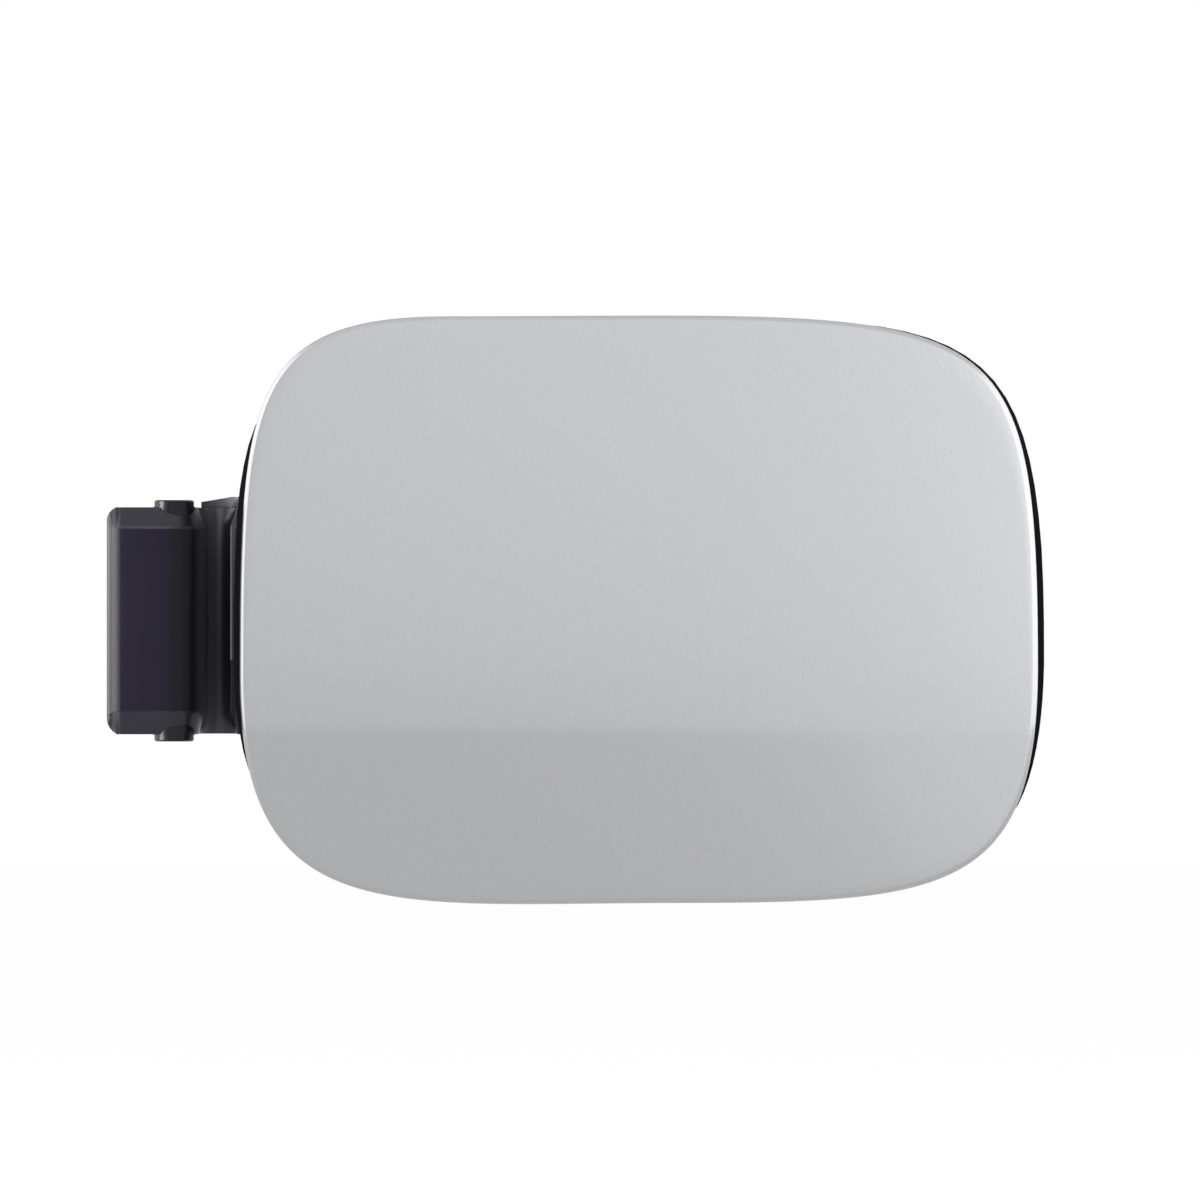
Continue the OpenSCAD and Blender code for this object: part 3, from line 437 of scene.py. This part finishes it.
def blackMoulding(name):
    chosen = plasticSets[name]
    material, tree, shader = newMaterial(name, chosen["light"], 0.0, chosen["roughness"],
                                         Specular_IOR_Level=chosen["specular"])
    grain = useGroup(tree, groups["grain"], Grain_Size=chosen["grain"], Depth=chosen["depth"],
                     Sheen_Change=chosen["sheen"], Base_Roughness=chosen["roughness"])
    marks = useGroup(tree, groups["marks"], Scratch_Size=mouldingSet["scratchSize"], Amount=chosen["marks"])
    plain = blendColour(tree, grain.outputs["Tone"], chosen["dark"], chosen["light"])
    dusty = mathNode(tree, "MULTIPLY", marks.outputs["Dust"], mouldingSet["dustShare"])
    colour = blendColour(tree, dusty, plain, mouldingSet["dust"])
    if name == "armPlastic":
        colour = armTone(tree, colour)
    if name == "carrierPlastic":
        colour = carrierTone(tree, colour)
    tree.links.new(colour, shader.inputs["Base Color"])
    rough = addUp(tree, grain.outputs["Roughness"], marks.outputs["Scratches"],
                  mouldingSet["scratchRoughness"])
    tree.links.new(rough, shader.inputs["Roughness"])
    tree.links.new(grain.outputs["Normal"], shader.inputs["Normal"])
    return material


# steels

steelSets = {
    "zincSteel": {"dark": (0.42, 0.43, 0.45), "light": (0.62, 0.62, 0.60), "roughness": 0.34,
                  "stretch": (1, 1, 1), "size": 260.0},
    "springSteel": {"dark": (0.20, 0.20, 0.21), "light": (0.27, 0.27, 0.275), "roughness": 0.3,
                    "stretch": (1, 1, 12), "size": 160.0},
}

steelWear = {"scratchSize": 300.0, "scratches": 0.6, "scratchRoughness": 0.2, "smoother": 0.06,
             "rougher": 0.1}


def plainSteel(name):
    chosen = steelSets[name]
    material, tree, shader = newMaterial(name, chosen["light"], 1.0, chosen["roughness"])
    place = addNode(tree, "ShaderNodeTexCoord")
    stretch = addNode(tree, "ShaderNodeMapping")
    stretch.inputs["Scale"].default_value = chosen["stretch"]
    tree.links.new(place.outputs["Object"], stretch.inputs["Vector"])
    cloud = addNode(tree, "ShaderNodeTexNoise", Scale=chosen["size"], Detail=5.0, Roughness=0.6)
    tree.links.new(stretch.outputs["Vector"], cloud.inputs["Vector"])
    tree.links.new(blendColour(tree, cloud.outputs["Fac"], chosen["dark"], chosen["light"]),
                   shader.inputs["Base Color"])
    marks = useGroup(tree, groups["marks"], Scratch_Size=steelWear["scratchSize"],
                     Amount=steelWear["scratches"])
    sheen = rampNode(tree, cloud.outputs["Fac"], 0.3, 0.7, chosen["roughness"] - steelWear["smoother"],
                     chosen["roughness"] + steelWear["rougher"])
    rough = addUp(tree, sheen, marks.outputs["Scratches"], steelWear["scratchRoughness"])
    tree.links.new(rough, shader.inputs["Roughness"])
    bump = addNode(tree, "ShaderNodeBump", Strength=0.4, Distance=0.00001)
    tree.links.new(cloud.outputs["Fac"], bump.inputs["Height"])
    tree.links.new(bump.outputs["Normal"], shader.inputs["Normal"])
    return material


finishes = {"silverPaint": silverPaint()}
for name in plasticSets:
    finishes[name] = blackMoulding(name)
for name in steelSets:
    finishes[name] = plainSteel(name)
print("finishes made:", len(finishes))


def finishPiece(piece, finish):
    piece.data.materials.clear()
    piece.data.materials.append(finishes[finish])


# door skin

skinSet = {
    "width": 199.4, "height": 146.6, "left": 16.6, "drop": 41.9,
    "topShare": 0.259, "bottomShare": 0.546, "leftShare": 0.392, "rightShare": 0.407,
    "pulls": ((0.767, 0.966), (0.927, 1.094), (0.966, 0.752), (0.661, 1.135)),
    "bend": 1100, "crownBack": 1082.38, "creaseShare": 0.294, "creaseSoft": 1.1,
    "upperLean": 0.5, "topLean": 6, "lowerLean": 6, "bottomLean": 8,
    "sheet": 1.0, "roll": 1.4, "flange": 5.2, "flangeChamfer": 0.2, "sharpAngle": 50,
    "upperRows": 30, "lowerRows": 18, "sideSteps": 10, "leftSteps": 48, "rightSteps": 52, "rollSteps": 8,
    "rowSpread": 1.5,
}
skinBottom = -skinSet["drop"]
skinTop = skinBottom + skinSet["height"]
skinRight = skinSet["left"] + skinSet["width"]
creaseLevel = skinBottom + skinSet["height"] * skinSet["creaseShare"]
crownMiddle = skinSet["left"] + skinSet["width"] / 2


def outlineCorner(k):
    keys = ((skinSet["left"], skinBottom + skinSet["height"] * skinSet["leftShare"]),
            (skinSet["left"] + skinSet["width"] * skinSet["topShare"], skinTop),
            (skinRight, skinBottom + skinSet["height"] * skinSet["rightShare"]),
            (skinSet["left"] + skinSet["width"] * skinSet["bottomShare"], skinBottom))
    p, q = keys[k], keys[(k + 1) % 4]
    first, second = skinSet["pulls"][k]
    if k % 2:
        return p, (mixTo(p[0], q[0], first), p[1]), (q[0], mixTo(q[1], p[1], second)), q
    return p, (p[0], mixTo(p[1], q[1], first)), (mixTo(q[0], p[0], second), q[1]), q


def outlinePoint(k, t):
    # place and outward direction on a corner's curve
    c = outlineCorner(k)
    weights = ((1 - t) ** 3, 3 * t * (1 - t) ** 2, 3 * t * t * (1 - t), t ** 3)
    x, z = (sum(w * p[axis] for w, p in zip(weights, c)) for axis in (0, 1))
    slopes = ((1 - t) ** 2, 2 * t * (1 - t), t * t)
    dx, dz = (sum(w * (c[i + 1][axis] - c[i][axis]) for i, w in enumerate(slopes)) for axis in (0, 1))
    size = math.hypot(dx, dz)
    return x, z, -dz / size, dx / size


def creaseCross(k, low, high):
    for _ in range(40):
        middle = (low + high) / 2
        if (outlinePoint(k, middle)[1] > creaseLevel) == (k == 2):
            low = middle
        else:
            high = middle
    return (low + high) / 2


def skinOutline():
    # from the crease's left end over the top to its right end, and back below
    left, right = creaseCross(3, 0.3, 1), creaseCross(2, 0, 0.9)
    side, over, across = skinSet["sideSteps"], skinSet["leftSteps"], skinSet["rightSteps"]
    low = (over + across + 2 * side) // 2
    ring = [outlinePoint(3, mixTo(left, 1, i / side)) for i in range(side)]
    ring += [outlinePoint(0, i / over) for i in range(over)]
    ring += [outlinePoint(1, i / across) for i in range(across)]
    ring += [outlinePoint(2, mixTo(0, right, i / side)) for i in range(side)]
    ring += [outlinePoint(2, mixTo(right, 1, i / low)) for i in range(low)]
    ring += [outlinePoint(3, mixTo(0, left, i / low)) for i in range(low)]
    return ring


def setBack(z):
    # how far the face falls back from the crease, with the fold itself softly rounded
    h = z - creaseLevel
    near, far, run = (("upperLean", "topLean", skinTop - creaseLevel) if h > 0
                      else ("lowerLean", "bottomLean", creaseLevel - skinBottom))
    up, down = (math.tan(math.radians(skinSet[key])) for key in ("upperLean", "lowerLean"))
    fold = (up - down) / 2 * h + (up + down) / 2 * math.hypot(h, skinSet["creaseSoft"])
    bow = (math.tan(math.radians(skinSet[far])) - math.tan(math.radians(skinSet[near]))) * h * h / (2 * run)
    return fold + bow


def faceDepth(x, z, depth):
    radius = skinSet["bend"] - setBack(z) - depth
    return skinSet["crownBack"] - math.sqrt(radius ** 2 - (x - crownMiddle) ** 2)


def skinPanel():
    ring = skinOutline()
    size = len(ring)
    half = size // 2
    upper, lower = skinSet["upperRows"], skinSet["lowerRows"]
    roll, sheet, flange = skinSet["roll"], skinSet["sheet"], skinSet["flange"]
    chamfer, steps, inner = skinSet["flangeChamfer"], skinSet["rollSteps"], roll - sheet
    quarter = [math.radians(90 * i / steps) for i in range(steps + 1)]
    profile = [(roll * (1 - math.sin(a)), roll * (1 - math.cos(a))) for a in quarter]
    profile += [(0, mixTo(roll, flange, 0.5)), (0, flange - chamfer), (chamfer, flange),
                (sheet - chamfer, flange), (sheet, flange - chamfer)]
    profile += [(roll - inner * math.sin(a), roll - inner * math.cos(a)) for a in quarter[::-2]]
    points, faces = [], []

    def border(inset):
        return [(x - inset * nx, z - inset * nz) for x, z, nx, nz in ring]

    for inset, depth in profile:
        points += [(x, faceDepth(x, z, depth), z) for x, z in border(inset)]
    for r in range(len(profile) - 1):
        a, b = r * size, (r + 1) * size
        faces += [(a + i, a + (i + 1) % size, b + (i + 1) % size, b + i) for i in range(size)]

    def patch(ringStart, inset, depth, outward):
        edge = border(inset)
        west, east = edge[0], edge[half]
        base = len(points)
        spread = skinSet["rowSpread"]
        levels = [-((j / upper) ** spread) for j in range(upper - 1, 0, -1)]
        levels += [(j / lower) ** spread for j in range(lower)]
        for share in levels:
            for i in range(1, half):
                rim = edge[i] if share < 0 else edge[size - i]
                x = mixTo(mixTo(west[0], east[0], i / half), rim[0], abs(share))
                z = mixTo(mixTo(west[1], east[1], i / half), rim[1], abs(share))
                points.append((x, faceDepth(x, z, depth), z))

        def at(j, i):
            if i in (0, half) or j == -upper:
                return ringStart + i
            if j == lower:
                return ringStart + size - i
            return base + (j + upper - 1) * (half - 1) + i - 1

        for j in range(-upper, lower):
            for i in range(half):
                corners = []
                for index in (at(j, i), at(j + 1, i), at(j + 1, i + 1), at(j, i + 1)):
                    if index not in corners:
                        corners.append(index)
                if len(corners) > 2:
                    faces.append(tuple(corners) if outward else tuple(corners[::-1]))

    patch(0, *profile[0], True)
    patch((len(profile) - 1) * size, *profile[-1], False)
    mesh = meshFrom("skin_panel", points, faces)
    faceOutward(mesh)
    smoothMesh(mesh, skinSet["sharpAngle"])
    piece = newPiece("skin_panel", mesh, "door")
    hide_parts("outer_skin")
    finishPiece(piece, "silverPaint")


skinPanel()
print("door skin made")


# studs with rolled threads

studSet = {"count": 5, "radius": 2.0, "pitch": 0.7, "cut": 0.36, "sides": 32, "flange": 3.5,
           "flangeThick": 0.8, "chamfer": 0.15, "tip": 0.5, "centre": 0.02, "threadFrom": 3.4,
           "sharpAngle": 40}


def skinStud(index):
    low, high = ([c / millimetre for c in corner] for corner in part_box("skin_stud_%d" % (index + 1)))
    x, z = (low[0] + high[0]) / 2, (low[2] + high[2]) / 2
    start, end = low[1], high[1]
    sides, radius, pitch = studSet["sides"], studSet["radius"], studSet["pitch"]
    flange, chamfer, centre = studSet["flange"], studSet["chamfer"], studSet["centre"]
    face, back = start + studSet["tip"], start + studSet["tip"] + studSet["flangeThick"]
    threadStart = start + studSet["threadFrom"]

    def circle(y, r):
        turns = [2 * math.pi * i / sides for i in range(sides)]
        return [(x + r * math.cos(turn), y, z + r * math.sin(turn)) for turn in turns]

    points = []
    for y, r in ((start, centre), (face, flange - chamfer), (face + chamfer, flange),
                 (back - chamfer, flange), (back, flange - chamfer), (back, radius),
                 (threadStart - 0.2, radius)):
        points += circle(y, r)
    # the thread is a ring of points carried along a helix, four rings to a turn's height
    steps = int((end - 0.5 - threadStart) / (pitch / 4))
    for k in range(steps + 1):
        y = threadStart + k * pitch / 4
        for i in range(sides):
            turn = i / sides
            phase = (y / pitch - turn) % 1.0
            r = radius - studSet["cut"] * abs(2 * phase - 1) * min(1, k / 3) * 0.95
            points.append((x + r * math.cos(2 * math.pi * turn), y, z + r * math.sin(2 * math.pi * turn)))
    for y, r in ((end - 0.25, radius - 0.45), (end, radius - 0.7), (end, centre)):
        points += circle(y, r)
    count = len(points) // sides
    faces = [(k * sides + i, k * sides + (i + 1) % sides, (k + 1) * sides + (i + 1) % sides,
              (k + 1) * sides + i) for k in range(count - 1) for i in range(sides)]
    faces.append(tuple(range(sides)))
    faces.append(tuple((count - 1) * sides + i for i in range(sides))[::-1])
    mesh = meshFrom("weld_stud_%d" % (index + 1), points, faces)
    faceOutward(mesh)
    smoothMesh(mesh, studSet["sharpAngle"])
    piece = newPiece("weld_stud_%d" % (index + 1), mesh, "door")
    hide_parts("skin_stud_%d" % (index + 1))
    finishPiece(piece, "zincSteel")


for index in range(studSet["count"]):
    skinStud(index)
print("weld studs made")


# mouldings, fixings and fittings from the frame

# heights where the arm's front face meets the bevels at its two ends
armLevels = (5.8, 52.0)

pieceSets = {
    "inner_carrier": {"width": 0.22, "finish": "carrierPlastic", "slot": "carrier_plastic", "body": "door"},
    "hinge_arm": {"width": 0.55, "angle": 22, "segments": 3, "levels": armLevels, "finish": "armPlastic",
                  "slot": "arm_plastic", "body": "door"},
    "pivot_shaft": {"width": 0.15, "finish": "shaftPlastic", "slot": "shaft_plastic", "body": "pivot"},
    "detent_spring": {"width": 0.12, "finish": "springSteel", "slot": "spring_steel", "body": "door"},
    "lock_eye": {"width": 0.35, "finish": "fittingPlastic", "slot": "fitting_plastic", "body": "door"},
    "cap_holder": {"width": 0.35, "finish": "fittingPlastic", "slot": "fitting_plastic", "body": "door"},
    "bump_stop_upper": {"width": 0.3, "finish": "stopRubber", "slot": "stop_rubber", "body": "door"},
    "bump_stop_lower": {"width": 0.3, "finish": "stopRubber", "slot": "stop_rubber", "body": "door"},
}
for screw in ["arm_screw_%d" % i for i in range(1, 5)] + ["lock_eye_screw_1", "lock_eye_screw_2",
                                                          "cap_holder_screw_1", "cap_holder_screw_2"]:
    pieceSets[screw] = {"width": 0.12, "finish": "zincSteel", "slot": "plated_steel", "body": "door"}
for nut in ["stud_nut_%d" % i for i in range(1, 6)]:
    pieceSets[nut] = {"width": 0.15, "finish": "zincSteel", "slot": "plated_steel", "body": "door"}

for name, chosen in pieceSets.items():
    piece = roundedCopy(name, chosen["body"], chosen["width"], chosen.get("angle", copySet["sharpAngle"]),
                        chosen.get("segments", copySet["segments"]), chosen.get("levels", ()))
    finishPiece(piece, chosen["finish"])
print("mouldings and fixings made:", len(pieceSets))


# floor, world and lamps

studioSet = {
    "floorSize": 6.0, "floorLevel": -0.13, "floorColour": (0.88, 0.88, 0.88), "floorRoughness": 0.7,
    "seenShare": 0.95, "glossyShare": 0.85, "worldFill": 0.8,
    "lamps": (
        {"name": "frontLamp", "place": (0.8, -2.2, 1.10), "aim": (0.8, 0, 1.10), "size": (3.0, 2.0),
         "radiance": 0.6, "lights": None},
        {"name": "frontTopLamp", "place": (0.8, -2.2, 1.10), "aim": (0.8, 0, 1.10), "size": (3.0, 1.36),
         "radiance": 0.36, "lights": None},
        {"name": "frontRightLamp", "place": (1.3, -2.2, 1.10), "aim": (1.3, 0, 1.10), "size": (1.7, 2.0),
         "radiance": 0.5, "colour": (0.70, 0.76, 1.0), "lights": None},
        {"name": "overheadLamp", "place": (0.1, -0.8, 2.0), "aim": (0.1, -0.8, 0), "size": (2.8, 2.8),
         "radiance": 0.3, "lights": None},
        {"name": "leftLamp", "place": (-1.0, -0.1, 0.6), "aim": (0, -0.1, 0.6), "size": (2.0, 1.4),
         "radiance": 1.9, "lights": None},
        {"name": "rightLamp", "place": (1.2, -1.15, 0.5), "aim": (0, -1.15, 0.5), "size": (4.1, 1.2),
         "radiance": 1.9, "lights": ("skin_panel", "studioFloor")},
        {"name": "rightLowLamp", "place": (0.88, -1.35, -0.125), "aim": (0.88, -1.35, 1), "size": (1.3, 2.2),
         "radiance": 0.55, "lights": ("skin_panel",)},
        {"name": "armTopLamp", "place": (0.0, -0.5, 1.0), "aim": (0.0, -0.1, 0), "size": (1.2, 0.8),
         "radiance": 2.3, "lights": ("hinge_arm_fine",)},
        {"name": "armEdgeLamp", "place": (-0.1, -0.9, 0.62), "aim": (0.0, 0, 0.03), "size": (0.8, 0.4),
         "radiance": 4.2, "lights": ("hinge_arm_fine",)},
        {"name": "armLowLamp", "place": (0.0, -0.1, -0.125), "aim": (0.0, -0.1, 1), "size": (0.4, 0.3),
         "radiance": 1.6, "lights": ("hinge_arm_fine",)},
        {"name": "armSideLamp", "place": (-0.6, -0.8, 0.05), "aim": (0, -0.8, 0.05), "size": (2.4, 0.8),
         "radiance": 7.0, "lights": ("hinge_arm_fine",)},
        {"name": "shaftSideLamp", "place": (-1.2, -0.28, 0.05), "aim": (0, 0, 0.05), "size": (0.6, 0.16),
         "radiance": 34.0, "lights": ("pivot_shaft_fine",)},
    ),
}


def seenRays(tree, cameraShare=1.0, glossyShare=1.0):
    path = tree.nodes.new("ShaderNodeLightPath")
    seen = mathNode(tree, "MAXIMUM", mathNode(tree, "MULTIPLY", path.outputs["Is Camera Ray"], cameraShare),
                    mathNode(tree, "MULTIPLY", path.outputs["Is Glossy Ray"], glossyShare))
    return mathNode(tree, "MAXIMUM", seen, path.outputs["Is Transmission Ray"])


def studioFloor():
    size, level = studioSet["floorSize"], studioSet["floorLevel"]
    corners = [(-size, -size, level), (size, -size, level), (size, size, level), (-size, size, level)]
    mesh = bpy.data.meshes.new("studioFloor")
    mesh.from_pydata(corners, [], [(0, 1, 2, 3)])
    floor = bpy.data.objects.new("studioFloor", mesh)
    scene.collection.objects.link(floor)
    material, tree, shader = newMaterial("studioFloor", studioSet["floorColour"], 0.0,
                                         studioSet["floorRoughness"])
    glow = addNode(tree, "ShaderNodeEmission", Strength=1.0)
    blend = tree.nodes.new("ShaderNodeMixShader")
    tree.links.new(seenRays(tree, studioSet["seenShare"], studioSet["glossyShare"]), blend.inputs[0])
    tree.links.new(shader.outputs[0], blend.inputs[1])
    tree.links.new(glow.outputs[0], blend.inputs[2])
    tree.links.new(blend.outputs[0], tree.nodes["Material Output"].inputs["Surface"])
    mesh.materials.append(material)


def studioWorld():
    world = bpy.data.worlds.new("studioWorld")
    world.use_nodes = True
    tree = world.node_tree
    background = tree.nodes["Background"]
    setInput(background, "Color", (1, 1, 1, 1))
    seen = seenRays(tree)
    strength = tree.nodes.new("ShaderNodeMix")
    tree.links.new(seen, strength.inputs["Factor"])
    strength.inputs["A"].default_value = studioSet["worldFill"]
    strength.inputs["B"].default_value = 1.0
    tree.links.new(strength.outputs["Result"], background.inputs["Strength"])
    scene.world = world


def studioLamp(chosen):
    data = bpy.data.lights.new(chosen["name"], "AREA")
    data.shape = "RECTANGLE"
    data.size, data.size_y = chosen["size"]
    data.energy = chosen["radiance"] * math.pi * data.size * data.size_y
    data.color = chosen.get("colour", (1, 1, 1))
    lamp = bpy.data.objects.new(chosen["name"], data)
    lamp.location = chosen["place"]
    lamp.visible_camera = False
    aim = Vector(chosen["aim"]) - lamp.location
    lamp.rotation_euler = aim.to_track_quat("-Z", "Y").to_euler()
    scene.collection.objects.link(lamp)
    if chosen["lights"]:
        # this lamp reaches the named pieces alone
        only = bpy.data.collections.new(chosen["name"] + "Only")
        for name in chosen["lights"]:
            only.objects.link(bpy.data.objects[name])
        lamp.light_linking.receiver_collection = only


studioFloor()
studioWorld()
for chosen in studioSet["lamps"]:
    studioLamp(chosen)
scene.view_settings.view_transform = "Standard"
print("studio set")

bpy.context.view_layer.update()
